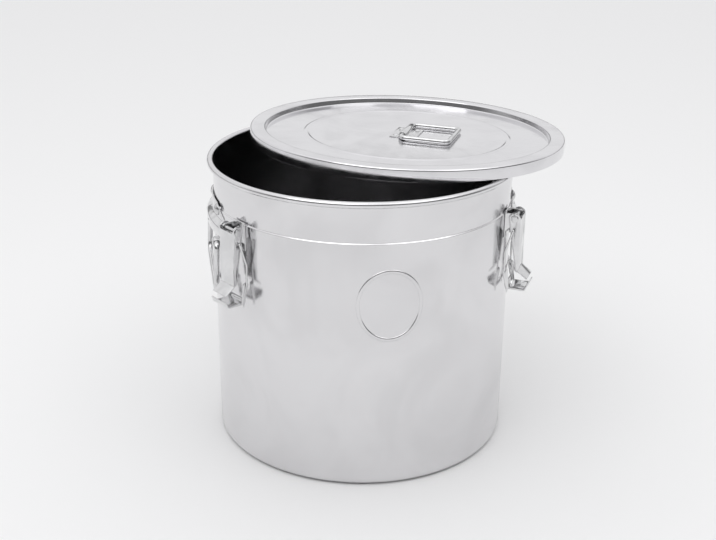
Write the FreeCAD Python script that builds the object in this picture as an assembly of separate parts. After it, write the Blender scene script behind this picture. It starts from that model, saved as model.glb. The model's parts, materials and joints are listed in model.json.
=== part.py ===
"""Stainless steel food storage bucket with a latched lid.

Millimetres, +Z up. The origin is the centre of the ring that the bucket stands on, and the
front of the bucket faces -Y. The lid is slid off towards the back right and lies on the
rim, and the three latches hang open with their claws turned down.

Pieces on the wall are drawn in a side frame: X points straight out of the wall, Y runs along
it and Z is up. around() then turns them to their place.
"""

import FreeCAD
import Part
import math
import os

from FreeCAD import Vector

# Bucket
WALL_RADIUS = 150.0  # outside of the wall
BUCKET_HEIGHT = 293.0  # up to the top of the rolled rim
WALL_SHEET = 1.0
RIM_ROLL_RADIUS = 3.2
RIM_ROLL_DEGREES = 290.0
RIM_WIRE_GAP = 0.3
CORNER_RADIUS = 7.0
FOOT_WIDTH = 12.0  # flat ring that the bucket stands on
FLOOR_RISE = 4.0  # the floor is lifted inside that ring
FLOOR_SLOPE = 8.0
FLOOR_BEND = 3.0
BEAD_DROP = 41.0  # rim top to the middle of the pressed bead
BEAD_WIDTH = 5.0
BEAD_DEPTH = 1.2

# Fits shared by several pieces
SEAT_GAP = 0.15  # a curved plate on the curved wall
SIDE_CLEAR = 0.3  # sheets that turn past each other
REST_CLEAR = 0.3  # a moving piece and what it rests on
PIN_CLEAR = 0.05  # a pin in its hole
CUT_OVERRUN = 2.0

# Latches, as angles from the front towards +X
LATCH_SPREAD_DEGREES = 120.0  # between the left and the right latch
LATCH_ANGLES = {"left": -LATCH_SPREAD_DEGREES / 2, "right": LATCH_SPREAD_DEGREES / 2, "rear": 180.0}
PIVOT_DROP = 45.5  # rim top to the lever's pivot
PIVOT_STANDOFF = 10.0  # wall to the lever's pivot
PIVOT_PIN_RADIUS = 2.0
PIVOT_HEAD_RADIUS = 3.6
PIVOT_HEAD_HEIGHT = 1.1
LEVER_WIDTH = 21.7
LEVER_SHEET = 1.2
LEVER_BEND = 1.0
LEVER_LENGTH = 53.0  # pivot to the root of the finger tab
LEVER_NOSE_RADIUS = 6.0
LEVER_FOOT_DEPTH = 2.6  # depth of the cheeks beside the finger tab
TAB_REACH = 10.0
TAB_DROP = 7.5
BASE_SHEET = 1.3
BASE_RISE = 7.0  # pivot to the top of the base
BASE_FALL = 21.0  # pivot to the foot of the base
EAR_NOSE_RADIUS = 4.2
EAR_FOOT_FALL = 15.0
BASE_RIVET_PITCH = 11.0

# Claws and the spring wires that carry them
WIRE_PIN_DROP = 11.0  # lever pivot to the wires' pin
WIRE_RADIUS = 0.9
WIRE_BEND = 1.2
WIRE_BOW_BEND = 12.0
WIRE_BOW_DROP = 23.0
WIRE_BOW_STANDOFF = 3.0
WIRE_SIDE_GAP = 0.4
ANCHOR_DROP = 43.0  # wires' pin to where they hold the claw
ANCHOR_STANDOFF = 3.6
CLAW_SHEET = 1.5
CLAW_BEND = 1.2
CLAW_ARM_SHEET = 1.2
CLAW_ARM_RADIUS = 2.8
CLAW_LEG_PLATE = 3.2
CLAW_EDGE_CLEAR = 1.0  # closed claw and the lid's edge
CLAW_TOP_CLEAR = 0.3
CLAW_LIP_CLEAR = 1.0
CLAW_LIP_DROP = 5.0
CLAW_LIP_LEAN = 2.2

# Carrying handles, as angles from the front towards +X
HANDLE_ANGLES = {"left": -90.0, "right": 90.0}
PLATE_SHEET = 1.2
PLATE_BEND = 1.5
PLATE_TOP_DROP = 35.0  # rim top to the plate's top edge
PLATE_TOP_WIDTH = 52.0
PLATE_WIDTH = 104.0
PLATE_SHOULDER_FALL = 15.0
PLATE_FLANGE = 14.0
PLATE_SLOPE = 5.0
PLATE_BULGE = 5.5
PLATE_BULGE_HEIGHT = 9.0
PLATE_FOOT = 6.0
BAIL_ROD_RADIUS = 2.75
BAIL_STANDOFF = 1.3  # wall to the bail's axis
BAIL_AXIS_RISE = 5.0  # plate's foot to the bail's axis
BAIL_DROP = 48.0
BAIL_PIVOT_BEND = 4.5
BAIL_CORNER_BEND = 12.0
KNUCKLE_WALL = 1.3
KNUCKLE_LENGTH = 10.0

# Rivets
PLATE_RIVET_PITCH = 60.0
PLATE_RIVET_FALL = 7.0  # plate's top edge to the rivets
RIVET_RADIUS = 2.5
RIVET_DOME_RADIUS = 6.0
RIVET_DOME_HEIGHT = 3.2
RIVET_TAIL_RADIUS = 4.5
RIVET_TAIL_HEIGHT = 1.0
SMALL_RIVET_RADIUS = 1.6
SMALL_DOME_RADIUS = 3.2
SMALL_DOME_HEIGHT = 1.4
SMALL_TAIL_RADIUS = 3.0
SMALL_TAIL_HEIGHT = 0.8

# Lid
LID_OVERHANG = 13.0  # the wall's outside to the lid's edge
LID_SHEET = 0.8
LID_BEND = 1.2
LID_EDGE_BEND = 1.4
LID_SKIRT = 13.0
LID_RECESS = 6.5  # flange top to the panel
LID_RECESS_LEAN = 0.8
MOUTH_CLEAR = 0.7  # the recess and the inside of the bucket's wall
HEM_WIDTH = 2.2
HEM_HEIGHT = 3.6
HEM_BEND = 0.15
RING_RADIUS = 105.0  # raised ring on the panel
RING_WIDTH = 6.0
RING_SLOPE = 2.0
RING_HEIGHT = 0.8
RING_BEND = 1.0
SEAL_HEIGHT = 3.0
SEAL_SIDE_GAP = 0.2
SEAL_TOP_GAP = 0.05
SEAL_ROUND = 0.8
LID_OFFSET = 73.0  # how far the lid is slid off
LID_OFFSET_ANGLE = 131.0

# Lid handle
GRIP_ANGLE = 64.0  # the way that the grip is folded
GRIP_ROD_RADIUS = 2.5
GRIP_WIDTH = 60.0
GRIP_REACH = 50.0
GRIP_BEND = 6.0
STRAP_SHEET = 1.2
STRAP_WIDTH = 40.0
STRAP_FLAT = 10.0
STRAP_ROOT_ROUND = 1.0
STRAP_RIVET_PITCH = 26.0

# Heights and radii that the pieces share
PIVOT_RADIUS = WALL_RADIUS + PIVOT_STANDOFF
PIVOT_Z = BUCKET_HEIGHT - PIVOT_DROP
WIRE_PIN_Z = PIVOT_Z - WIRE_PIN_DROP
LEVER_FACE_RADIUS = PIVOT_RADIUS + LEVER_NOSE_RADIUS
LEVER_HALF = LEVER_WIDTH / 2
CHEEK_INSIDE = LEVER_HALF - LEVER_SHEET
EAR_OUTSIDE = CHEEK_INSIDE - SIDE_CLEAR
ARM_INSIDE = LEVER_HALF + SIDE_CLEAR
ARM_OUTSIDE = ARM_INSIDE + CLAW_ARM_SHEET
WIRE_SIDE = ARM_OUTSIDE + WIRE_SIDE_GAP + WIRE_RADIUS
WALL_INSIDE = WALL_RADIUS - WALL_SHEET
RIM_MIDDLE_RADIUS = WALL_INSIDE + RIM_ROLL_RADIUS
RIM_MIDDLE_Z = BUCKET_HEIGHT - RIM_ROLL_RADIUS
SEAT_RADIUS = WALL_RADIUS + SEAT_GAP
PLATE_FACE_RADIUS = SEAT_RADIUS + PLATE_SHEET
PLATE_TOP_Z = BUCKET_HEIGHT - PLATE_TOP_DROP
PLATE_FOOT_Z = PLATE_TOP_Z - PLATE_FLANGE - 2 * PLATE_SLOPE - PLATE_BULGE_HEIGHT - PLATE_FOOT
BAIL_AXIS_RADIUS = WALL_RADIUS + BAIL_STANDOFF
BAIL_AXIS_Z = PLATE_FOOT_Z + BAIL_AXIS_RISE
BAIL_LEAN = math.asin((WALL_RADIUS + REST_CLEAR + BAIL_ROD_RADIUS - BAIL_AXIS_RADIUS) / BAIL_DROP)
LID_RADIUS = WALL_RADIUS + LID_OVERHANG
LID_RECESS_RADIUS = WALL_INSIDE - MOUTH_CLEAR - LID_SHEET
SEATED_LID_Z = BUCKET_HEIGHT + SEAL_HEIGHT + SEAL_TOP_GAP + LID_SHEET
GRIP_AXIS_Z = REST_CLEAR + GRIP_ROD_RADIUS - LID_RECESS

ORIGIN = Vector(0, 0, 0)
UP = Vector(0, 0, 1)
OUT = Vector(1, 0, 0)
ALONG = Vector(0, 1, 0)
FULL_TURN = 360.0
HALF_TURN = 180.0
QUARTER_TURN = 90.0


# Drawing helpers


def section_point(x, z):
    """A point of a section drawn in the XZ plane."""
    return Vector(x, 0, z)


def round_corner(before, corner, after, radius):
    """Start, middle and end of the arc that rounds a corner."""
    back = (before - corner).normalize()
    ahead = (after - corner).normalize()
    half = back.getAngle(ahead) / 2
    run = radius / math.tan(half)
    inwards = (back + ahead).normalize() * (radius / math.sin(half) - radius)
    return corner + back * run, corner + inwards, corner + ahead * run


def rounded_wire(corners, closed):
    """A path through (point, radius) corners, each rounded by a tangent arc."""
    points = [point for point, _ in corners]
    arcs = []
    for i, (point, radius) in enumerate(corners):
        if radius:
            arcs.append(round_corner(points[i - 1], point, points[(i + 1) % len(points)], radius))
        else:
            arcs.append((point, point, point))
    edges = []
    for i, (start, middle, end) in enumerate(arcs):
        if corners[i][1]:
            edges.append(Part.Arc(start, middle, end).toShape())
        following = arcs[(i + 1) % len(arcs)][0]
        is_last = i == len(arcs) - 1
        if (closed or not is_last) and not end.isEqual(following, Part.Precision.confusion()):
            edges.append(Part.makeLine(end, following))
    return Part.Wire(edges)


def rounded_face(corners):
    return Part.Face(rounded_wire(corners, True))


def strip_face(path, bends, sheet):
    """Section of a bent sheet in the XZ plane. One face follows path, and the sheet lies to its right.

    bends holds the inner radius of each bend.
    """
    ways = [(path[i + 1] - path[i]).normalize() for i in range(len(path) - 1)]
    rights = [Vector(way.z, 0, -way.x) for way in ways]
    near = [(path[0], 0)]
    far = [(path[0] + rights[0] * sheet, 0)]
    for i, point in enumerate(path[1:-1]):
        bend = bends[i]
        before, after = rights[i], rights[i + 1]
        mitre = (before + after) * (sheet / (1 + before.dot(after)))
        turns_right = ways[i].cross(ways[i + 1]).y > 0
        near.append((point, bend + sheet if turns_right else bend))
        far.append((point + mitre, bend if turns_right else bend + sheet))
    near.append((path[-1], 0))
    far.append((path[-1] + rights[-1] * sheet, 0))
    return rounded_face(near + far[::-1])


def nose_angle(point, centre, radius, side):
    """Where the tangent from a point meets a circle, on the side given by +1 or -1."""
    away = point - centre
    return math.atan2(away.z, away.x) + side * math.acos(radius / away.Length)


def on_circle(centre, radius, angle):
    return centre + section_point(radius * math.cos(angle), radius * math.sin(angle))


def nosed_face(low, high, centre, radius):
    """Section with a round nose: from low it runs round the centre, anticlockwise, to high."""
    start = nose_angle(low, centre, radius, 1)
    end = nose_angle(high, centre, radius, -1)
    while end < start:
        end += math.radians(FULL_TURN)
    first = on_circle(centre, radius, start)
    middle = on_circle(centre, radius, (start + end) / 2)
    last = on_circle(centre, radius, end)
    nose = Part.Arc(first, middle, last).toShape()
    sides = [Part.makeLine(low, first), nose, Part.makeLine(last, high), Part.makeLine(high, low)]
    return Part.Face(Part.Wire(sides))


def spun(face):
    return face.revolve(ORIGIN, UP, FULL_TURN)


def widened(face, low, high):
    """A section made solid from low to high along Y."""
    return face.translated(ALONG * low).extrude(ALONG * (high - low))


def both_sides(shape):
    """The shape and its mirror image across the XZ plane."""
    return [shape, shape.mirror(ORIGIN, ALONG)]


def pin(radius, low, high, x, z):
    """A round bar along Y."""
    return Part.makeCylinder(radius, high - low, Vector(x, low, z), ALONG)


def wire_rod(path, start, direction, radius):
    """A round wire along a path."""
    ring = Part.Wire(Part.makeCircle(radius, start, direction))
    return path.makePipeShell([ring], True, False)


def wall_band(inner, outer, low, high, half_width):
    """A sheet that follows the wall, as wide as half_width to each side."""
    height = high - low
    tube = Part.makeCylinder(outer, height, Vector(0, 0, low))
    tube = tube.cut(Part.makeCylinder(inner, height, Vector(0, 0, low)))
    window = Part.makeBox(outer, 2 * half_width, height, Vector(0, -half_width, low))
    return tube.common(window)


def around(shape, angle):
    """Turns a piece from the side frame to its angle from the front."""
    return shape.rotated(ORIGIN, UP, angle - QUARTER_TURN)


def rivet(shank, dome, dome_height, tail, tail_height, grip):
    """A rivet along Z: its tail lies below the origin and its domed head above the grip."""
    bulge = (dome * dome + dome_height * dome_height) / (2 * dome_height)
    slant = math.asin(dome / bulge) / 2
    crown = section_point(0, grip + dome_height)
    rim = section_point(dome, grip)
    waist = section_point(bulge * math.sin(slant), crown.z - bulge + bulge * math.cos(slant))
    corners = [
        crown,
        section_point(0, -tail_height),
        section_point(tail, -tail_height),
        section_point(tail, 0),
        section_point(shank, 0),
        section_point(shank, grip),
        rim,
    ]
    edges = [Part.makeLine(corners[i], corners[i + 1]) for i in range(len(corners) - 1)]
    edges.append(Part.Arc(rim, waist, crown).toShape())
    return spun(Part.Face(Part.Wire(edges)))


def large_rivet(grip):
    return rivet(
        RIVET_RADIUS, RIVET_DOME_RADIUS, RIVET_DOME_HEIGHT, RIVET_TAIL_RADIUS, RIVET_TAIL_HEIGHT, grip
    )


def small_rivet(grip):
    return rivet(
        SMALL_RIVET_RADIUS, SMALL_DOME_RADIUS, SMALL_DOME_HEIGHT, SMALL_TAIL_RADIUS, SMALL_TAIL_HEIGHT, grip
    )


def outwards(shape, radius, z):
    """Points a rivet out of the wall, with its tail at a radius, in the side frame."""
    return shape.rotated(ORIGIN, ALONG, QUARTER_TURN).translated(Vector(radius, 0, z))


def wall_hole(radius, z):
    """The cut that a wall rivet passes through."""
    inside = WALL_INSIDE - BEAD_DEPTH - CUT_OVERRUN
    length = PLATE_FACE_RADIUS + CUT_OVERRUN - inside
    return Part.makeCylinder(radius + PIN_CLEAR, length, Vector(inside, 0, z), OUT)


# Where the rivets are: angle to the side of the piece's middle, and height


def plate_rivet_places():
    swing = math.degrees(math.asin(PLATE_RIVET_PITCH / 2 / WALL_RADIUS))
    return [(-swing, PLATE_TOP_Z - PLATE_RIVET_FALL), (swing, PLATE_TOP_Z - PLATE_RIVET_FALL)]


def base_rivet_places():
    middle = PIVOT_Z + (BASE_RISE - BASE_FALL) / 2
    return [(0, middle - BASE_RIVET_PITCH / 2), (0, middle + BASE_RIVET_PITCH / 2)]


def turned(shape, swing):
    return shape.rotated(ORIGIN, UP, swing)


# Bucket


def bucket_section():
    """Half section of the sheet: lifted floor, standing ring, wall with its bead, and rolled rim."""
    foot_outside = WALL_RADIUS - CORNER_RADIUS
    foot_inside = foot_outside - FOOT_WIDTH
    floor_edge = foot_inside - FLOOR_SLOPE
    bead_z = BUCKET_HEIGHT - BEAD_DROP
    bead_low = bead_z - BEAD_WIDTH / 2
    bead_high = bead_z + BEAD_WIDTH / 2
    rim = section_point(RIM_MIDDLE_RADIUS, RIM_MIDDLE_Z)
    roll_inside = RIM_ROLL_RADIUS - WALL_SHEET
    roll_end = math.radians(HALF_TURN - RIM_ROLL_DEGREES)
    roll_middle = math.radians(HALF_TURN - RIM_ROLL_DEGREES / 2)

    outside = [
        (section_point(0, FLOOR_RISE), 0),
        (section_point(floor_edge, FLOOR_RISE), FLOOR_BEND),
        (section_point(foot_inside, 0), FLOOR_BEND),
        (section_point(WALL_RADIUS, 0), CORNER_RADIUS),
        (section_point(WALL_RADIUS, bead_low), 0),
    ]
    inside = [
        (section_point(WALL_INSIDE, bead_low), 0),
        (section_point(WALL_INSIDE, WALL_SHEET), CORNER_RADIUS - WALL_SHEET),
        (section_point(foot_inside, WALL_SHEET), FLOOR_BEND),
        (section_point(floor_edge, FLOOR_RISE + WALL_SHEET), FLOOR_BEND),
        (section_point(0, FLOOR_RISE + WALL_SHEET), 0),
    ]

    def bead(radius):
        return Part.Arc(
            section_point(radius, bead_low),
            section_point(radius - BEAD_DEPTH, bead_z),
            section_point(radius, bead_high),
        ).toShape()

    def roll(radius):
        return Part.Arc(
            section_point(RIM_MIDDLE_RADIUS - radius, RIM_MIDDLE_Z),
            on_circle(rim, radius, roll_middle),
            on_circle(rim, radius, roll_end),
        ).toShape()

    edges = rounded_wire(outside, False).Edges + [
        bead(WALL_RADIUS),
        Part.makeLine(section_point(WALL_RADIUS, bead_high), section_point(WALL_RADIUS, RIM_MIDDLE_Z)),
        roll(roll_inside),
        Part.makeLine(on_circle(rim, roll_inside, roll_end), on_circle(rim, RIM_ROLL_RADIUS, roll_end)),
        roll(RIM_ROLL_RADIUS),
        Part.makeLine(section_point(WALL_INSIDE, RIM_MIDDLE_Z), section_point(WALL_INSIDE, bead_high)),
        bead(WALL_INSIDE),
    ]
    edges += rounded_wire(inside, False).Edges
    edges.append(Part.makeLine(inside[-1][0], outside[0][0]))
    return Part.Face(Part.Wire(Part.__sortEdges__(edges)))


def bucket_body():
    body = spun(bucket_section())
    holes = []
    for angle in HANDLE_ANGLES.values():
        for swing, z in plate_rivet_places():
            holes.append(around(turned(wall_hole(RIVET_RADIUS, z), swing), angle))
    for angle in LATCH_ANGLES.values():
        for swing, z in base_rivet_places():
            holes.append(around(turned(wall_hole(SMALL_RIVET_RADIUS, z), swing), angle))
    return body.cut(holes)


def rim_wire():
    radius = RIM_ROLL_RADIUS - WALL_SHEET - RIM_WIRE_GAP
    return Part.makeTorus(RIM_MIDDLE_RADIUS, radius, Vector(0, 0, RIM_MIDDLE_Z))


# Latch, in the side frame


def latch_base():
    """A channel on the wall, with two ears that hold the lever's pin."""
    pivot = section_point(PIVOT_RADIUS, PIVOT_Z)
    low = section_point(SEAT_RADIUS, PIVOT_Z - EAR_FOOT_FALL)
    high = section_point(SEAT_RADIUS, PIVOT_Z + EAR_NOSE_RADIUS)
    ear = widened(nosed_face(low, high, pivot, EAR_NOSE_RADIUS), EAR_OUTSIDE - BASE_SHEET, EAR_OUTSIDE)
    foot_z = PIVOT_Z - BASE_FALL
    top_z = PIVOT_Z + BASE_RISE
    web = wall_band(SEAT_RADIUS, SEAT_RADIUS + BASE_SHEET, foot_z, top_z, EAR_OUTSIDE)
    base = web.fuse(both_sides(ear)).removeSplitter()
    cuts = [pin(PIVOT_PIN_RADIUS + PIN_CLEAR, -LEVER_WIDTH, LEVER_WIDTH, PIVOT_RADIUS, PIVOT_Z)]
    cuts += [wall_hole(SMALL_RIVET_RADIUS, z) for _, z in base_rivet_places()]
    return base.cut(cuts)


def base_rivets():
    tail_at = WALL_INSIDE - SEAT_GAP
    grip = SEAT_RADIUS + BASE_SHEET + PIN_CLEAR - tail_at
    return [outwards(small_rivet(grip), tail_at, z) for _, z in base_rivet_places()]


def pivot_pin():
    """The lever's pin, with a flat head outside each cheek."""
    head_at = LEVER_HALF + SIDE_CLEAR
    shank = pin(PIVOT_PIN_RADIUS, -head_at, head_at, PIVOT_RADIUS, PIVOT_Z)
    head = pin(PIVOT_HEAD_RADIUS, head_at, head_at + PIVOT_HEAD_HEIGHT, PIVOT_RADIUS, PIVOT_Z)
    return shank.fuse(both_sides(head)).removeSplitter()


def latch_lever():
    """A channel with a flat face, two tapering cheeks and a finger tab at its foot."""
    tab_root = section_point(LEVER_FACE_RADIUS, PIVOT_Z - LEVER_LENGTH)
    face_path = [
        section_point(LEVER_FACE_RADIUS, PIVOT_Z),
        tab_root,
        tab_root + section_point(TAB_REACH, -TAB_DROP),
    ]
    face = widened(strip_face(face_path, [LEVER_BEND], LEVER_SHEET), -LEVER_HALF, LEVER_HALF)
    cheek_heel = tab_root - section_point(LEVER_FOOT_DEPTH, 0)
    pivot = section_point(PIVOT_RADIUS, PIVOT_Z)
    cheek_section = nosed_face(tab_root, cheek_heel, pivot, LEVER_NOSE_RADIUS)
    cheek = widened(cheek_section, CHEEK_INSIDE, LEVER_HALF)
    lever = face.fuse(both_sides(cheek)).removeSplitter()
    holes = [
        pin(PIVOT_PIN_RADIUS + PIN_CLEAR, -LEVER_WIDTH, LEVER_WIDTH, PIVOT_RADIUS, PIVOT_Z),
        pin(WIRE_RADIUS + PIN_CLEAR, -LEVER_WIDTH, LEVER_WIDTH, PIVOT_RADIUS, WIRE_PIN_Z),
    ]
    return lever.cut(holes)


def wire_anchor():
    """Where the spring wires hold the hanging claw."""
    return section_point(WALL_RADIUS + ANCHOR_STANDOFF, WIRE_PIN_Z - ANCHOR_DROP)


def hung(point):
    """Turns a place from the closed latch to the hanging one, half a turn about the wires' pin."""
    return section_point(2 * PIVOT_RADIUS - point.x, 2 * WIRE_PIN_Z - point.z)


def latch_claw():
    """A bent strip that closes over the seated lid's flange, drawn hanging upside down."""
    corner = section_point(LID_RADIUS + CLAW_EDGE_CLEAR, SEATED_LID_Z + CLAW_TOP_CLEAR)
    lip_root = section_point(LID_RECESS_RADIUS - CLAW_LIP_CLEAR, corner.z)
    lip_tip = lip_root - section_point(CLAW_LIP_LEAN, CLAW_LIP_DROP)
    anchor = hung(wire_anchor())
    leg_end = corner + (anchor - corner).normalize() * CLAW_LEG_PLATE
    path = [hung(point) for point in (leg_end, corner, lip_root, lip_tip)]
    strip = widened(strip_face(path, [CLAW_BEND] * 2, CLAW_SHEET), -ARM_OUTSIDE, ARM_OUTSIDE)
    arm_foot = hung(corner)
    along = (hung(lip_root) - arm_foot).normalize() * CLAW_ARM_RADIUS
    outside = (path[0] - arm_foot).normalize() * CLAW_LEG_PLATE
    low = arm_foot + along
    arm_section = nosed_face(low, arm_foot - along.cross(ALONG) - outside, wire_anchor(), CLAW_ARM_RADIUS)
    arm = widened(arm_section, ARM_INSIDE, ARM_OUTSIDE)
    claw = strip.fuse(both_sides(arm)).removeSplitter()
    hole = wire_anchor()
    return claw.cut(pin(WIRE_RADIUS + PIN_CLEAR, -LEVER_WIDTH, LEVER_WIDTH, hole.x, hole.z))


def spring_wires():
    """Two bowed wires, each hooked into a lever cheek and into an arm of the claw."""
    anchor = wire_anchor()
    bow = Vector(WALL_RADIUS + WIRE_BOW_STANDOFF, WIRE_SIDE, WIRE_PIN_Z - WIRE_BOW_DROP)
    corners = [
        (Vector(PIVOT_RADIUS, CHEEK_INSIDE, WIRE_PIN_Z), 0),
        (Vector(PIVOT_RADIUS, WIRE_SIDE, WIRE_PIN_Z), WIRE_BEND),
        (bow, WIRE_BOW_BEND),
        (Vector(anchor.x, WIRE_SIDE, anchor.z), WIRE_BEND),
        (Vector(anchor.x, ARM_INSIDE, anchor.z), 0),
    ]
    return both_sides(wire_rod(rounded_wire(corners, False), corners[0][0], ALONG, WIRE_RADIUS))


# Carrying handle, in the side frame


def handle_plate():
    """A stamped plate that follows the wall, with a knuckle at each lower corner for the bail."""
    z = PLATE_TOP_Z
    bulge_radius = PLATE_FACE_RADIUS + PLATE_BULGE
    path = [section_point(PLATE_FACE_RADIUS, z)]
    for radius, fall in (
        (PLATE_FACE_RADIUS, PLATE_FLANGE),
        (bulge_radius, PLATE_SLOPE),
        (bulge_radius, PLATE_BULGE_HEIGHT),
        (PLATE_FACE_RADIUS, PLATE_SLOPE),
        (PLATE_FACE_RADIUS, PLATE_FOOT),
    ):
        z -= fall
        path.append(section_point(radius, z))
    shell = spun(strip_face(path, [PLATE_BEND] * 4, PLATE_SHEET))
    half = PLATE_WIDTH / 2
    top_half = PLATE_TOP_WIDTH / 2
    shoulder_z = PLATE_TOP_Z - PLATE_SHOULDER_FALL
    outline = [
        Vector(0, -half, PLATE_FOOT_Z),
        Vector(0, half, PLATE_FOOT_Z),
        Vector(0, half, shoulder_z),
        Vector(0, top_half, PLATE_TOP_Z),
        Vector(0, -top_half, PLATE_TOP_Z),
        Vector(0, -half, shoulder_z),
    ]
    window = rounded_face([(point, PLATE_BEND) for point in outline])
    plate = shell.common(window.extrude(OUT * (bulge_radius + CUT_OVERRUN)))

    axis = section_point(BAIL_AXIS_RADIUS, BAIL_AXIS_Z)
    knuckle_radius = BAIL_ROD_RADIUS + PIN_CLEAR + KNUCKLE_WALL
    root_x = math.sqrt(WALL_RADIUS * WALL_RADIUS - half * half)
    low = section_point(root_x, BAIL_AXIS_Z - knuckle_radius)
    high = section_point(root_x, BAIL_AXIS_Z + knuckle_radius)
    knuckle = widened(nosed_face(low, high, axis, knuckle_radius), half - KNUCKLE_LENGTH, half)
    plate = plate.fuse(both_sides(knuckle))
    seat = Part.makeCylinder(SEAT_RADIUS, BUCKET_HEIGHT)
    cuts = [seat, pin(BAIL_ROD_RADIUS + PIN_CLEAR, -PLATE_WIDTH, PLATE_WIDTH, axis.x, axis.z)]
    for swing, rivet_z in plate_rivet_places():
        cuts.append(turned(wall_hole(RIVET_RADIUS, rivet_z), swing))
    return plate.cut(cuts).removeSplitter()


def handle_rivets():
    """Domed rivets, whose tails lie inside the pressed bead."""
    tail_at = WALL_INSIDE - BEAD_DEPTH - SEAT_GAP
    grip = PLATE_FACE_RADIUS + PIN_CLEAR - tail_at
    return [turned(outwards(large_rivet(grip), tail_at, z), swing) for swing, z in plate_rivet_places()]


def handle_bail():
    """A wire bail that hangs against the wall, its ends turned into the knuckles."""
    half = PLATE_WIDTH / 2
    leg = half + REST_CLEAR + BAIL_PIVOT_BEND
    axis = Vector(BAIL_AXIS_RADIUS, 0, BAIL_AXIS_Z)
    drop = Vector(math.sin(BAIL_LEAN), 0, -math.cos(BAIL_LEAN)) * BAIL_DROP
    end = half - KNUCKLE_LENGTH + REST_CLEAR
    corners = [
        (axis + ALONG * end, 0),
        (axis + ALONG * leg, BAIL_PIVOT_BEND),
        (axis + ALONG * leg + drop, BAIL_CORNER_BEND),
        (axis - ALONG * leg + drop, BAIL_CORNER_BEND),
        (axis - ALONG * leg, BAIL_PIVOT_BEND),
        (axis - ALONG * end, 0),
    ]
    return wire_rod(rounded_wire(corners, False), corners[0][0], ALONG, BAIL_ROD_RADIUS)


# Lid, drawn level with the top of its flange at the origin


def lid_shell():
    """A pressed sheet: sunk panel with a raised ring, flat flange, skirt and hem."""
    ring_foot = RING_RADIUS - RING_WIDTH / 2
    ring_far = RING_RADIUS + RING_WIDTH / 2
    ring_z = RING_HEIGHT - LID_RECESS
    hem_inside = LID_RADIUS - HEM_WIDTH
    path = [
        section_point(0, -LID_RECESS),
        section_point(ring_foot, -LID_RECESS),
        section_point(ring_foot + RING_SLOPE, ring_z),
        section_point(ring_far - RING_SLOPE, ring_z),
        section_point(ring_far, -LID_RECESS),
        section_point(LID_RECESS_RADIUS - LID_RECESS_LEAN, -LID_RECESS),
        section_point(LID_RECESS_RADIUS, 0),
        section_point(LID_RADIUS, 0),
        section_point(LID_RADIUS, -LID_SKIRT),
        section_point(hem_inside, -LID_SKIRT),
        section_point(hem_inside, HEM_HEIGHT - LID_SKIRT),
    ]
    bends = [RING_BEND] * 4 + [LID_BEND] * 2 + [LID_EDGE_BEND] + [HEM_BEND] * 2
    shell = spun(strip_face(path, bends, LID_SHEET))
    cuts = []
    for f, g in strap_rivet_places():
        deep = LID_RECESS + LID_SHEET + CUT_OVERRUN
        cuts.append(Part.makeCylinder(SMALL_RIVET_RADIUS + PIN_CLEAR, deep, Vector(f, g, -deep)))
    return shell.cut(cuts)


def lid_seal():
    """A silicone ring in the channel under the flange."""
    inner = LID_RECESS_RADIUS + LID_SHEET + SEAL_SIDE_GAP
    outer = LID_RADIUS - HEM_WIDTH - SEAL_SIDE_GAP
    top = -LID_SHEET - SEAL_TOP_GAP
    corners = [
        (section_point(inner, top - SEAL_HEIGHT), SEAL_ROUND),
        (section_point(outer, top - SEAL_HEIGHT), SEAL_ROUND),
        (section_point(outer, top), SEAL_ROUND),
        (section_point(inner, top), SEAL_ROUND),
    ]
    return spun(rounded_face(corners))


def strap_rivet_places():
    """Places on the panel: X is the way that the grip folds, Y runs along its axis."""
    f = GRIP_ROD_RADIUS + STRAP_SHEET + STRAP_FLAT / 2
    g = STRAP_RIVET_PITCH / 2
    return [(-f, -g), (-f, g), (f, -g), (f, g)]


def lid_strap():
    """A strap that bridges the grip's axis, flat on the panel at both sides."""
    inside = GRIP_ROD_RADIUS + PIN_CLEAR
    outside = inside + STRAP_SHEET
    reach = GRIP_ROD_RADIUS + STRAP_SHEET + STRAP_FLAT
    centre = section_point(0, GRIP_AXIS_Z)
    floor_z = -LID_RECESS
    flat_z = floor_z + STRAP_SHEET
    right = [
        section_point(inside, GRIP_AXIS_Z),
        section_point(inside, floor_z),
        section_point(reach, floor_z),
        section_point(reach, flat_z),
        section_point(outside, flat_z),
        section_point(outside, GRIP_AXIS_Z),
    ]
    left = [section_point(-point.x, point.z) for point in right[::-1]]
    crown = math.radians(QUARTER_TURN)
    edges = [
        Part.makePolygon(right),
        Part.Arc(right[-1], on_circle(centre, outside, crown), left[0]).toShape(),
        Part.makePolygon(left),
        Part.Arc(left[-1], on_circle(centre, inside, crown), right[0]).toShape(),
    ]
    loose = [edge for shape in edges for edge in shape.Edges]
    strap = widened(Part.Face(Part.Wire(loose)), -STRAP_WIDTH / 2, STRAP_WIDTH / 2)
    roots = [edge for edge in strap.Edges if is_strap_root(edge, outside, flat_z)]
    strap = strap.makeFillet(STRAP_ROOT_ROUND, roots)
    cuts = []
    for f, g in strap_rivet_places():
        cuts.append(Part.makeCylinder(SMALL_RIVET_RADIUS + PIN_CLEAR, LID_RECESS, Vector(f, g, floor_z)))
    return strap.cut(cuts)


def is_strap_root(edge, outside, flat_z):
    """The inner corners where the strap's flats meet its arch."""
    ends = [vertex.Point for vertex in edge.Vertexes]
    tolerance = PIN_CLEAR / 2
    return all(abs(abs(p.x) - outside) < tolerance and abs(p.z - flat_z) < tolerance for p in ends)


def strap_rivets():
    grip = STRAP_SHEET + LID_SHEET
    base_z = -LID_RECESS - LID_SHEET
    rivets = []
    for f, g in strap_rivet_places():
        rivets.append(small_rivet(grip).translated(Vector(f, g, base_z)))
    return rivets


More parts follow.
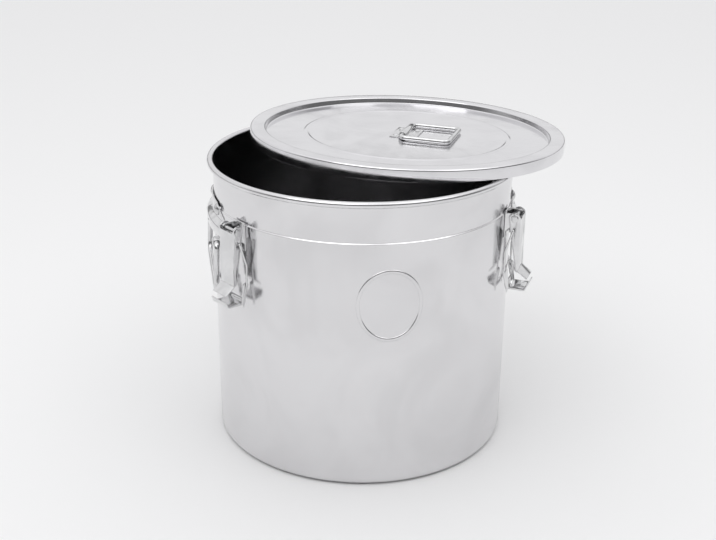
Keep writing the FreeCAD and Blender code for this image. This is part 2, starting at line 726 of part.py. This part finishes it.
def lid_grip():
    """A closed wire loop, folded flat, whose axis bar turns under the strap."""
    half = GRIP_WIDTH / 2
    corners = [
        (Vector(0, -half, GRIP_AXIS_Z), GRIP_BEND),
        (Vector(GRIP_REACH, -half, GRIP_AXIS_Z), GRIP_BEND),
        (Vector(GRIP_REACH, half, GRIP_AXIS_Z), GRIP_BEND),
        (Vector(0, half, GRIP_AXIS_Z), GRIP_BEND),
    ]
    start = Vector(GRIP_BEND, -half, GRIP_AXIS_Z)
    return wire_rod(rounded_wire(corners, True), start, OUT, GRIP_ROD_RADIUS)


def lid_rest():
    """How the slid lid lies: its hem crosses the rim twice and its panel lies on the rim's far side."""
    hem = LID_RADIUS - HEM_WIDTH / 2
    rim = RIM_MIDDLE_RADIUS
    crossing = (rim * rim - hem * hem + LID_OFFSET * LID_OFFSET) / (2 * LID_OFFSET)
    panel = LID_RECESS + LID_SHEET
    tilt = math.atan2(LID_SKIRT - panel, rim - crossing)
    lift = BUCKET_HEIGHT + REST_CLEAR + LID_SKIRT - (LID_OFFSET - crossing) * math.tan(tilt)
    return tilt, lift


def lid_turn():
    """The way that the lid is slid, and the level axis that it tips about."""
    angle = math.radians(LID_OFFSET_ANGLE)
    away = Vector(math.sin(angle), -math.cos(angle), 0)
    return away, UP.cross(away)


def laid(shape):
    """Moves a piece of the lid from level to where the slid lid lies."""
    away, hinge = lid_turn()
    tilt, lift = lid_rest()
    return shape.rotated(ORIGIN, hinge, math.degrees(tilt)).translated(away * LID_OFFSET + UP * lift)


def grip_turned(shape):
    """Turns a piece of the lid's handle to the way that the grip is folded."""
    return around(shape, GRIP_ANGLE)


# All pieces by name


def all_pieces():
    pieces = {"bucket_body": bucket_body(), "rim_wire": rim_wire()}
    for side, angle in LATCH_ANGLES.items():
        pieces[side + "_latch_base"] = around(latch_base(), angle)
        pieces[side + "_latch_base_rivets"] = around(Part.makeCompound(base_rivets()), angle)
        pieces[side + "_latch_pivot_pin"] = around(pivot_pin(), angle)
        pieces[side + "_latch_lever"] = around(latch_lever(), angle)
        pieces[side + "_latch_claw"] = around(latch_claw(), angle)
        pieces[side + "_latch_spring_wires"] = around(Part.makeCompound(spring_wires()), angle)
    for side, angle in HANDLE_ANGLES.items():
        pieces[side + "_handle_plate"] = around(handle_plate(), angle)
        pieces[side + "_handle_rivets"] = around(Part.makeCompound(handle_rivets()), angle)
        pieces[side + "_handle_bail"] = around(handle_bail(), angle)
    pieces["lid_shell"] = laid(grip_turned(lid_shell()))
    pieces["lid_seal"] = laid(lid_seal())
    pieces["lid_strap"] = laid(grip_turned(lid_strap()))
    pieces["lid_strap_rivets"] = laid(grip_turned(Part.makeCompound(strap_rivets())))
    pieces["lid_grip"] = laid(grip_turned(lid_grip()))
    return pieces


os.makedirs("parts", exist_ok=True)
for name, shape in all_pieces().items():
    shape.exportStep("parts/" + name + ".step")
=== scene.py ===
"""Looks of a stainless steel food bucket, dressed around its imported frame. Metres, +Z up, front at -Y."""

import json
import math

import bpy
from mathutils import Matrix, Quaternion, Vector


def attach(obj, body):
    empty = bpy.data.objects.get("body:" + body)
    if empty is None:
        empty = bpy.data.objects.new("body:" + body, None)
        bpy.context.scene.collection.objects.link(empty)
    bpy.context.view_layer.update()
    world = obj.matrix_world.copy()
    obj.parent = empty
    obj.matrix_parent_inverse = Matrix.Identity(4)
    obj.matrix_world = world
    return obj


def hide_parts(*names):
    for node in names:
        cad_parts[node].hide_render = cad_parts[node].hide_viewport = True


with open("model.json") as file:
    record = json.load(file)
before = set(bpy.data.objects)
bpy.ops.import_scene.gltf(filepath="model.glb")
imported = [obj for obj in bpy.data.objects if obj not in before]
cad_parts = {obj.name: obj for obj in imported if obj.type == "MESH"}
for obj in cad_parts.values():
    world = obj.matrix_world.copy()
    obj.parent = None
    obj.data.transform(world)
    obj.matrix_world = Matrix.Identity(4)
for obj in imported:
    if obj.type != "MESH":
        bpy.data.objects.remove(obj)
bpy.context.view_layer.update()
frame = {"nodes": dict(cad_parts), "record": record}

# Bucket
WALL_RADIUS = 0.150
WALL_SHEET = 0.001
BUCKET_HEIGHT = 0.293
RIM_ROLL_RADIUS = 0.0032
RIM_ROLL_DEGREES = 290
CORNER_RADIUS = 0.007
FOOT_WIDTH = 0.012
FLOOR_RISE = 0.004
FLOOR_SLOPE = 0.008
FLOOR_BEND = 0.003
BEAD_DROP = 0.041
BEAD_DEPTH = 0.0011
BEAD_BEND = 0.0005
BEAD_RUN_OUT = 0.03
WALL_INSIDE = WALL_RADIUS - WALL_SHEET
RIM_RADIUS = WALL_INSIDE + RIM_ROLL_RADIUS
RIM_Z = BUCKET_HEIGHT - RIM_ROLL_RADIUS

# Lid, with the top of its flange as its zero height
LID_RADIUS = 0.163
LID_SHEET = 0.0008
LID_BEND = 0.0012
LID_EDGE_BEND = 0.0014
LID_SKIRT = 0.013
LID_RECESS = 0.0065
LID_RECESS_LEAN = 0.0008
LID_RECESS_RADIUS = 0.1475
HEM_WIDTH = 0.0022
HEM_HEIGHT = 0.0036
HEM_BEND = 0.00015
RING_RADIUS = 0.105
RING_WIDTH = 0.006
RING_SLOPE = 0.002
RING_HEIGHT = 0.0008
RING_BEND = 0.001
LID_OFFSET = 0.073
LID_OFFSET_ANGLE = 131
REST_CLEAR = 0.0003

# Plain oval line on the front of the wall
OVAL_Z = 0.191
OVAL_HALF_WIDTH = 0.030
OVAL_HALF_HEIGHT = 0.034
OVAL_LINE = 0.0034
OVAL_RAISE = 0.0008

# Softened edges of the pressed and turned fittings
EDGE_ROUND = 0.0004
FINE_EDGE_ROUND = 0.00015
EDGE_ANGLE = math.radians(40)
FLAT_ANGLE = math.radians(0.5)
EDGE_SEGMENTS = 2

# Fineness of the meshes
SPIN_STEPS = 256
ROLL_STEPS = 36
OVAL_SIDES = 128
OVAL_LINE_SIDES = 16
BEND_STEP = math.radians(15)
SMOOTH_ANGLE = math.radians(35)
MERGE_DISTANCE = 1e-6

# Floor and lamps
FLOOR_SIZE = 30
FLOOR_TONE = (0.88, 0.88, 0.88, 1)
FLOOR_ROUGHNESS = 0.7
LAMP_AIM = Vector((0, 0, 0.1))
LAMPS = (
    {"name": "key", "place": Vector((-0.9, -0.9, 2.2)), "size": 1.8, "watts": 9},
    {"name": "fill", "place": Vector((1.0, -0.9, 2.0)), "size": 1.4, "watts": 4},
)

# Sky, as levels from the horizon at 0 to overhead at 1, and where along Y the front becomes the back
FRONT_SKY = ((0.0, 0.15), (0.45, 0.2), (0.65, 1.08), (1.0, 1.08))
BACK_SKY = ((0.0, 0.15), (0.06, 0.25), (0.13, 0.87), (0.6, 0.9), (0.8, 1.08), (1.0, 1.08))
SKY_TURN = {"From Min": -0.3, "From Max": 0.45}
SKY_BLUE = 1.01

# Camera, with its lens and sensor in millimetres
EYE = Vector((-0.1984, -1.1038, 0.6246))
TARGET = Vector((-0.0037, 0.00065, 0.1662))
ROLL = math.radians(0.6)
LENS = 58.5
SENSOR_WIDTH = 36

HALF_TURN = math.pi
FULL_TURN = 2 * math.pi
UP = Vector((0, 0, 1))

BODY_OF = {}
for body, members in frame["record"]["behaviour"]["bodies"].items():
    for member in members:
        BODY_OF[member] = body
SLOT_OF = {part["node"]: part["material_slot"] for part in frame["record"]["subparts"]}


# Sections, drawn as radius and height


def bend_points(before, corner, after, radius):
    """The arc that rounds a corner of a section."""
    back = (before - corner).normalized()
    ahead = (after - corner).normalized()
    half = back.angle(ahead) / 2
    centre = corner + (back + ahead).normalized() * (radius / math.sin(half))
    start = corner + back * (radius / math.tan(half)) - centre
    end = corner + ahead * (radius / math.tan(half)) - centre
    turn = math.atan2(start.x * end.y - start.y * end.x, start.dot(end))
    steps = max(2, round(abs(turn) / BEND_STEP))
    points = []
    for i in range(steps + 1):
        points.append(centre + Matrix.Rotation(turn * i / steps, 2) @ start)
    return points


def rounded(corners):
    """An open line through (point, bend radius) corners."""
    points = [corners[0][0]]
    for i in range(1, len(corners) - 1):
        corner, radius = corners[i]
        if radius:
            points += bend_points(corners[i - 1][0], corner, corners[i + 1][0], radius)
        else:
            points.append(corner)
    points.append(corners[-1][0])
    return points


def sheet_section(path, bends, sheet):
    """Both faces of a bent sheet, as one line. The sheet lies to the right of its path."""
    ways = [(path[i + 1] - path[i]).normalized() for i in range(len(path) - 1)]
    rights = [Vector((way.y, -way.x)) for way in ways]
    near = [(path[0], 0)]
    far = [(path[0] + rights[0] * sheet, 0)]
    for i, point in enumerate(path[1:-1]):
        mitre = (rights[i] + rights[i + 1]) * (sheet / (1 + rights[i].dot(rights[i + 1])))
        turns_right = ways[i].cross(ways[i + 1]) < 0
        near.append((point, bends[i] + sheet if turns_right else bends[i]))
        far.append((point + mitre, bends[i] if turns_right else bends[i] + sheet))
    near.append((path[-1], 0))
    far.append((path[-1] + rights[-1] * sheet, 0))
    return rounded(near) + rounded(far[::-1])


# Modelling


def take(piece):
    """Makes a piece the only selected one."""
    bpy.ops.object.select_all(action="DESELECT")
    piece.select_set(True)
    bpy.context.view_layer.objects.active = piece


def edit(piece):
    take(piece)
    bpy.ops.object.mode_set(mode="EDIT")
    bpy.ops.mesh.select_all(action="SELECT")


def leave_edit():
    bpy.ops.object.mode_set(mode="OBJECT")


def apply_place(piece):
    """Moves a piece's place and turn into its mesh."""
    take(piece)
    bpy.ops.object.transform_apply(location=True, rotation=True, scale=True)


def apply_modifier(piece, modifier):
    take(piece)
    bpy.ops.object.modifier_apply(modifier=modifier.name)


def spun(name, section):
    """A section drawn from one point by extrusion and spun once around the Z axis."""
    bpy.ops.object.select_all(action="DESELECT")
    bpy.ops.mesh.primitive_plane_add(size=WALL_SHEET)
    piece = bpy.context.object
    piece.name = name
    edit(piece)
    bpy.ops.mesh.merge(type="CENTER")
    bpy.ops.transform.translate(value=(section[0].x, 0, section[0].y))
    for before, point in zip(section, section[1:]):
        step = point - before
        bpy.ops.mesh.extrude_region_move(TRANSFORM_OT_translate={"value": (step.x, 0, step.y)})
    bpy.ops.mesh.select_all(action="SELECT")
    bpy.ops.mesh.spin(steps=SPIN_STEPS, angle=FULL_TURN, center=(0, 0, 0), axis=UP)
    bpy.ops.mesh.select_all(action="SELECT")
    bpy.ops.mesh.remove_doubles(threshold=MERGE_DISTANCE)
    bpy.ops.mesh.normals_make_consistent(inside=False)
    leave_edit()
    return piece


def round_edges(piece, edge_round):
    bevel = piece.modifiers.new("edges", "BEVEL")
    bevel.width = edge_round
    bevel.segments = EDGE_SEGMENTS
    bevel.limit_method = "ANGLE"
    bevel.angle_limit = EDGE_ANGLE
    bevel.use_clamp_overlap = False
    apply_modifier(piece, bevel)


def finish(piece, body, slot):
    """Shades a piece, gives it its finish and lets it move with a body."""
    take(piece)
    bpy.ops.object.shade_smooth_by_angle(angle=SMOOTH_ANGLE)
    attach(piece, body)
    piece.data.materials.clear()
    piece.data.materials.append(FINISHES[slot])


def dress(piece, node):
    """Finishes a piece that stands for a CAD node."""
    finish(piece, BODY_OF[node], SLOT_OF[node])
    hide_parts(node)


def softened(node, edge_round):
    """A copy of a fitting, with its flat faces joined and its edges rounded."""
    mesh = frame["nodes"][node].data.copy()
    piece = bpy.data.objects.new(node + "_soft", mesh)
    bpy.context.scene.collection.objects.link(piece)
    edit(piece)
    bpy.ops.mesh.remove_doubles(threshold=MERGE_DISTANCE)
    bpy.ops.mesh.dissolve_limited(angle_limit=FLAT_ANGLE)
    leave_edit()
    round_edges(piece, edge_round)
    dress(piece, node)


# Bucket


def rim_roll(radius):
    """The rolled rim, from the wall over the top."""
    points = []
    for i in range(ROLL_STEPS + 1):
        angle = HALF_TURN - math.radians(RIM_ROLL_DEGREES * i / ROLL_STEPS)
        points.append(Vector((RIM_RADIUS + radius * math.cos(angle), RIM_Z + radius * math.sin(angle))))
    return points


def bucket_shell():
    """The drawn bucket. Its bead is a short shoulder that runs out upwards."""
    foot_inside = WALL_RADIUS - CORNER_RADIUS - FOOT_WIDTH
    floor_edge = foot_inside - FLOOR_SLOPE
    bead_low = BUCKET_HEIGHT - BEAD_DROP - BEAD_DEPTH / 2
    bead_high = bead_low + BEAD_DEPTH
    bead_end = bead_high + BEAD_RUN_OUT
    outside = [
        (Vector((0, FLOOR_RISE)), 0),
        (Vector((floor_edge, FLOOR_RISE)), FLOOR_BEND),
        (Vector((foot_inside, 0)), FLOOR_BEND),
        (Vector((WALL_RADIUS, 0)), CORNER_RADIUS),
        (Vector((WALL_RADIUS, bead_low)), BEAD_BEND),
        (Vector((WALL_RADIUS - BEAD_DEPTH, bead_high)), BEAD_BEND),
        (Vector((WALL_RADIUS, bead_end)), 0),
    ]
    inside = [
        (Vector((WALL_INSIDE, bead_end)), 0),
        (Vector((WALL_INSIDE - BEAD_DEPTH, bead_high)), BEAD_BEND),
        (Vector((WALL_INSIDE, bead_low)), BEAD_BEND),
        (Vector((WALL_INSIDE, WALL_SHEET)), CORNER_RADIUS - WALL_SHEET),
        (Vector((foot_inside, WALL_SHEET)), FLOOR_BEND),
        (Vector((floor_edge, FLOOR_RISE + WALL_SHEET)), FLOOR_BEND),
        (Vector((0, FLOOR_RISE + WALL_SHEET)), 0),
    ]
    roll = rim_roll(RIM_ROLL_RADIUS - WALL_SHEET) + rim_roll(RIM_ROLL_RADIUS)[::-1]
    section = rounded(outside) + roll + rounded(inside)
    dress(spun("bucket_shell", section), "bucket_body")


def wall_oval():
    """A plain oval line raised on the wall: a ring drawn flat, pressed low and bent round the wall."""
    bpy.ops.object.select_all(action="DESELECT")
    bpy.ops.mesh.primitive_torus_add(
        major_radius=OVAL_HALF_WIDTH, minor_radius=OVAL_LINE / 2, major_segments=OVAL_SIDES,
        minor_segments=OVAL_LINE_SIDES, rotation=(HALF_TURN / 2, 0, 0),
    )
    oval = bpy.context.object
    oval.name = "wall_oval"
    apply_place(oval)
    edit(oval)
    press = (1, OVAL_RAISE / (OVAL_LINE / 2), OVAL_HALF_HEIGHT / OVAL_HALF_WIDTH)
    bpy.ops.transform.resize(value=press, center_override=(0, 0, 0))
    leave_edit()
    bend = oval.modifiers.new("wall", "SIMPLE_DEFORM")
    bend.deform_method = "BEND"
    bend.deform_axis = "Z"
    bend.angle = oval.dimensions.x / WALL_RADIUS
    apply_modifier(oval, bend)
    oval.location = (0, -WALL_RADIUS, OVAL_Z)
    apply_place(oval)
    finish(oval, "bucket", "bucket_steel")


# Lid


def lid_rest():
    """Where the slid lid lies: tipped about a level axis, then moved."""
    hem = LID_RADIUS - HEM_WIDTH / 2
    crossing = (RIM_RADIUS**2 - hem**2 + LID_OFFSET**2) / (2 * LID_OFFSET)
    panel = LID_RECESS + LID_SHEET
    tilt = math.atan2(LID_SKIRT - panel, RIM_RADIUS - crossing)
    lift = BUCKET_HEIGHT + REST_CLEAR + LID_SKIRT - (LID_OFFSET - crossing) * math.tan(tilt)
    angle = math.radians(LID_OFFSET_ANGLE)
    away = Vector((math.sin(angle), -math.cos(angle), 0))
    return Matrix.Translation(away * LID_OFFSET + UP * lift) @ Matrix.Rotation(tilt, 4, UP.cross(away))


def lid_pressing():
    """The pressed lid: sunk panel with a low ring, flange, skirt and hem."""
    ring_near = RING_RADIUS - RING_WIDTH / 2
    ring_far = RING_RADIUS + RING_WIDTH / 2
    ring_z = RING_HEIGHT - LID_RECESS
    hem_inside = LID_RADIUS - HEM_WIDTH
    path = [
        Vector((0, -LID_RECESS)),
        Vector((ring_near, -LID_RECESS)),
        Vector((ring_near + RING_SLOPE, ring_z)),
        Vector((ring_far - RING_SLOPE, ring_z)),
        Vector((ring_far, -LID_RECESS)),
        Vector((LID_RECESS_RADIUS - LID_RECESS_LEAN, -LID_RECESS)),
        Vector((LID_RECESS_RADIUS, 0)),
        Vector((LID_RADIUS, 0)),
        Vector((LID_RADIUS, -LID_SKIRT)),
        Vector((hem_inside, -LID_SKIRT)),
        Vector((hem_inside, HEM_HEIGHT - LID_SKIRT)),
    ]
    bends = [RING_BEND] * 4 + [LID_BEND] * 2 + [LID_EDGE_BEND] + [HEM_BEND] * 2
    pressing = spun("lid_pressing", sheet_section(path, bends, LID_SHEET))
    pressing.matrix_world = lid_rest()
    apply_place(pressing)
    dress(pressing, "lid_shell")


# Finishes


def add_node(tree, kind, values=None, **settings):
    """A node with its settings and the values of its inputs."""
    node = tree.nodes.new(kind)
    for label, setting in settings.items():
        setattr(node, label, setting)
    for label, value in (values or {}).items():
        node.inputs[label].default_value = value
    return node


def new_group(name, inputs, output):
    """A shader group with float inputs and one float output."""
    group = bpy.data.node_groups.new(name, "ShaderNodeTree")
    for label, value in inputs.items():
        socket = group.interface.new_socket(label, in_out="INPUT", socket_type="NodeSocketFloat")
        socket.default_value = value
    group.interface.new_socket(output, in_out="OUTPUT", socket_type="NodeSocketFloat")
    return group, group.nodes.new("NodeGroupInput"), group.nodes.new("NodeGroupOutput")


def grain_group():
    """Fine drawn lines along Z, or an even grain where both scales are alike."""
    group, given, result = new_group("drawn_grain", {"Across": 900, "Along": 12}, "Height")
    place = add_node(group, "ShaderNodeTexCoord")
    scales = add_node(group, "ShaderNodeCombineXYZ")
    stretch = add_node(group, "ShaderNodeVectorMath", operation="MULTIPLY")
    noise = add_node(group, "ShaderNodeTexNoise", {"Scale": 1, "Detail": 5, "Roughness": 0.6})
    link = group.links.new
    link(given.outputs["Across"], scales.inputs["X"])
    link(given.outputs["Across"], scales.inputs["Y"])
    link(given.outputs["Along"], scales.inputs["Z"])
    link(place.outputs["Object"], stretch.inputs[0])
    link(scales.outputs["Vector"], stretch.inputs[1])
    link(stretch.outputs["Vector"], noise.inputs["Vector"])
    link(noise.outputs["Fac"], result.inputs["Height"])
    return group


def haze_group():
    """Soft wipe marks and handling haze, from 0 to 1."""
    group, given, result = new_group("handling_haze", {"Scale": 14, "Drag": 1.5}, "Haze")
    place = add_node(group, "ShaderNodeTexCoord")
    noise = add_node(group, "ShaderNodeTexNoise", {"Detail": 6, "Roughness": 0.55})
    patches = {"From Min": 0.35, "From Max": 0.68}
    spread = add_node(group, "ShaderNodeMapRange", patches, interpolation_type="SMOOTHSTEP")
    link = group.links.new
    link(place.outputs["Object"], noise.inputs["Vector"])
    link(given.outputs["Scale"], noise.inputs["Scale"])
    link(given.outputs["Drag"], noise.inputs["Distortion"])
    link(noise.outputs["Fac"], spread.inputs["Value"])
    link(spread.outputs["Result"], result.inputs["Haze"])
    return group


def scuff_group():
    """Sparse hairline scratches that run two ways, from 0 to 1."""
    group, given, result = new_group("hairline_scuffs", {"Scale": 60, "Amount": 0.5}, "Scuffs")
    place = add_node(group, "ShaderNodeTexCoord")
    link = group.links.new
    both = add_node(group, "ShaderNodeMath", operation="MAXIMUM")
    first_way = {"Rotation": (0.4, 0.2, 0.9), "Scale": (1, 14, 14)}
    second_way = {"Rotation": (1.1, 0.7, 0.3), "Scale": (14, 1, 14)}
    for i, way in enumerate((first_way, second_way)):
        mapping = add_node(group, "ShaderNodeMapping", way)
        noise = add_node(group, "ShaderNodeTexNoise", {"Detail": 2})
        sharp = add_node(group, "ShaderNodeMapRange", {"From Min": 0.66, "From Max": 0.72})
        link(place.outputs["Object"], mapping.inputs["Vector"])
        link(mapping.outputs["Vector"], noise.inputs["Vector"])
        link(given.outputs["Scale"], noise.inputs["Scale"])
        link(noise.outputs["Fac"], sharp.inputs["Value"])
        link(sharp.outputs["Result"], both.inputs[i])
    scaled = add_node(group, "ShaderNodeMath", operation="MULTIPLY")
    link(both.outputs["Value"], scaled.inputs[0])
    link(given.outputs["Amount"], scaled.inputs[1])
    link(scaled.outputs["Value"], result.inputs["Scuffs"])
    return group


def new_material(name, values):
    """A material with its shader's plain values set. Gives the material, its tree and its shader."""
    material = bpy.data.materials.new(name)
    material.use_nodes = True
    shader = material.node_tree.nodes["Principled BSDF"]
    for label, value in values.items():
        shader.inputs[label].default_value = value
    return material, material.node_tree, shader


def metal(name, clean, dull, polish, grain, haze, scuffs, depth):
    """Polished sheet: haze dulls its tone, haze and scuffs roughen it, and a grain lies in its surface."""
    material, tree, shader = new_material(name, {"Metallic": 1})
    hazes = add_node(tree, "ShaderNodeGroup", haze, node_tree=HAZE)
    lines = add_node(tree, "ShaderNodeGroup", grain, node_tree=GRAIN)
    marks = add_node(tree, "ShaderNodeGroup", scuffs, node_tree=SCUFFS)
    tone = add_node(tree, "ShaderNodeMix", {"A": (*clean, 1), "B": (*dull, 1)}, data_type="RGBA")
    worn = add_node(tree, "ShaderNodeMath", operation="MAXIMUM")
    gloss = add_node(tree, "ShaderNodeMapRange", {"To Min": polish[0], "To Max": polish[1]})
    bump = add_node(tree, "ShaderNodeBump", {"Strength": 1, "Distance": depth})
    link = tree.links.new
    link(hazes.outputs["Haze"], tone.inputs["Factor"])
    link(tone.outputs["Result"], shader.inputs["Base Color"])
    link(hazes.outputs["Haze"], worn.inputs[0])
    link(marks.outputs["Scuffs"], worn.inputs[1])
    link(worn.outputs["Value"], gloss.inputs["Value"])
    link(gloss.outputs["Result"], shader.inputs["Roughness"])
    link(lines.outputs["Height"], bump.inputs["Height"])
    link(bump.outputs["Normal"], shader.inputs["Normal"])
    return material


def silicone(name, pale, shade, polish, grain, haze, depth):
    """Milky rubber with a soft skin and a little dust."""
    soft = {"Subsurface Weight": 0.3, "Subsurface Radius": (0.002, 0.002, 0.002)}
    material, tree, shader = new_material(name, soft)
    hazes = add_node(tree, "ShaderNodeGroup", haze, node_tree=HAZE)
    skin = add_node(tree, "ShaderNodeGroup", grain, node_tree=GRAIN)
    tone = add_node(tree, "ShaderNodeMix", {"A": (*pale, 1), "B": (*shade, 1)}, data_type="RGBA")
    matt = add_node(tree, "ShaderNodeMapRange", {"To Min": polish[0], "To Max": polish[1]})
    bump = add_node(tree, "ShaderNodeBump", {"Strength": 1, "Distance": depth})
    link = tree.links.new
    link(hazes.outputs["Haze"], tone.inputs["Factor"])
    link(tone.outputs["Result"], shader.inputs["Base Color"])
    link(hazes.outputs["Haze"], matt.inputs["Value"])
    link(matt.outputs["Result"], shader.inputs["Roughness"])
    link(skin.outputs["Height"], bump.inputs["Height"])
    link(bump.outputs["Normal"], shader.inputs["Normal"])
    return material


GRAIN = grain_group()
HAZE = haze_group()
SCUFFS = scuff_group()
DRAWN = {"Across": 1100, "Along": 9}
EVEN = {"Across": 1600, "Along": 1600}
RUBBER = {"Across": 1500, "Along": 1500}
FINISHES = {
    "bucket_steel": metal(
        "bucket_steel", clean=(0.75, 0.745, 0.755), dull=(0.70, 0.695, 0.705), polish=(0.13, 0.22),
        grain=DRAWN, haze={"Scale": 9, "Drag": 1.2}, scuffs={"Scale": 40, "Amount": 0.5}, depth=0.0000025,
    ),
    "lid_steel": metal(
        "lid_steel", clean=(0.77, 0.765, 0.78), dull=(0.72, 0.715, 0.73), polish=(0.09, 0.17),
        grain=EVEN, haze={"Scale": 12, "Drag": 1.8}, scuffs={"Scale": 45, "Amount": 0.7}, depth=0.0000015,
    ),
    "fitting_steel": metal(
        "fitting_steel", clean=(0.74, 0.74, 0.745), dull=(0.66, 0.66, 0.665), polish=(0.07, 0.16),
        grain=EVEN, haze={"Scale": 50, "Drag": 1.0}, scuffs={"Scale": 90, "Amount": 0.8}, depth=0.000001,
    ),
    "wire_steel": metal(
        "wire_steel", clean=(0.73, 0.73, 0.735), dull=(0.64, 0.64, 0.645), polish=(0.10, 0.20),
        grain=EVEN, haze={"Scale": 70, "Drag": 0.8}, scuffs={"Scale": 110, "Amount": 0.8}, depth=0.000001,
    ),
    "rivet_steel": metal(
        "rivet_steel", clean=(0.70, 0.70, 0.705), dull=(0.60, 0.60, 0.605), polish=(0.14, 0.26),
        grain=EVEN, haze={"Scale": 90, "Drag": 0.8}, scuffs={"Scale": 120, "Amount": 0.9}, depth=0.0000015,
    ),
    "seal_silicone": silicone(
        "seal_silicone", pale=(0.80, 0.80, 0.78), shade=(0.70, 0.70, 0.68), polish=(0.45, 0.6),
        grain=RUBBER, haze={"Scale": 60, "Drag": 0.5}, depth=0.00002,
    ),
}


# Studio


def pale_floor():
    bpy.ops.object.select_all(action="DESELECT")
    bpy.ops.mesh.primitive_plane_add(size=FLOOR_SIZE)
    floor = bpy.context.object
    floor.name = "floor"
    paint, _, _ = new_material("pale_floor", {"Base Color": FLOOR_TONE, "Roughness": FLOOR_ROUGHNESS})
    floor.data.materials.append(paint)


def plain_sky():
    """A plain sky that is dim along the horizon and low in front, and bright elsewhere."""
    world = bpy.data.worlds.new("studio")
    world.use_nodes = True
    bpy.context.scene.world = world
    tree = world.node_tree
    place = add_node(tree, "ShaderNodeTexCoord")
    split = add_node(tree, "ShaderNodeSeparateXYZ")
    behind = add_node(tree, "ShaderNodeMapRange", SKY_TURN, interpolation_type="SMOOTHSTEP")
    sky = add_node(tree, "ShaderNodeMix", data_type="RGBA")
    link = tree.links.new
    link(place.outputs["Generated"], split.inputs["Vector"])
    link(split.outputs["Y"], behind.inputs["Value"])
    link(behind.outputs["Result"], sky.inputs["Factor"])
    for side, levels in (("A", FRONT_SKY), ("B", BACK_SKY)):
        ramp = add_node(tree, "ShaderNodeValToRGB")
        stops = ramp.color_ramp.elements
        while len(stops) < len(levels):
            stops.new(0.5)
        for stop, (height, level) in zip(stops, levels):
            stop.position = height
            stop.color = (level, level, level * SKY_BLUE, 1)
        link(split.outputs["Z"], ramp.inputs["Fac"])
        link(ramp.outputs["Color"], sky.inputs[side])
    link(sky.outputs["Result"], tree.nodes["Background"].inputs["Color"])


def soft_box(name, place, size, watts):
    lamp = bpy.data.lights.new(name, "AREA")
    lamp.energy = watts
    lamp.size = size
    box = bpy.data.objects.new(name, lamp)
    bpy.context.scene.collection.objects.link(box)
    box.location = place
    box.rotation_euler = (LAMP_AIM - place).to_track_quat("-Z", "Y").to_euler()


def camera():
    lens = bpy.data.cameras.new("camera")
    lens.sensor_width = SENSOR_WIDTH
    lens.lens = LENS
    holder = bpy.data.objects.new("camera", lens)
    bpy.context.scene.collection.objects.link(holder)
    holder.location = EYE
    aim = (TARGET - EYE).to_track_quat("-Z", "Y") @ Quaternion(UP, ROLL)
    holder.rotation_euler = aim.to_euler()
    bpy.context.scene.camera = holder


bpy.context.scene.view_settings.view_transform = "Standard"
camera()
pale_floor()
plain_sky()
for lamp in LAMPS:
    soft_box(**lamp)

bucket_shell()
wall_oval()
lid_pressing()
SPUN_NODES = ("bucket_body", "lid_shell")
HIDDEN_NODES = ("rim_wire",)
for node in BODY_OF:
    if node in HIDDEN_NODES:
        for slot in frame["nodes"][node].material_slots:
            slot.material = FINISHES[SLOT_OF[node]]
    elif node not in SPUN_NODES:
        is_fine = "rivet" in node or "wires" in node
        softened(node, FINE_EDGE_ROUND if is_fine else EDGE_ROUND)
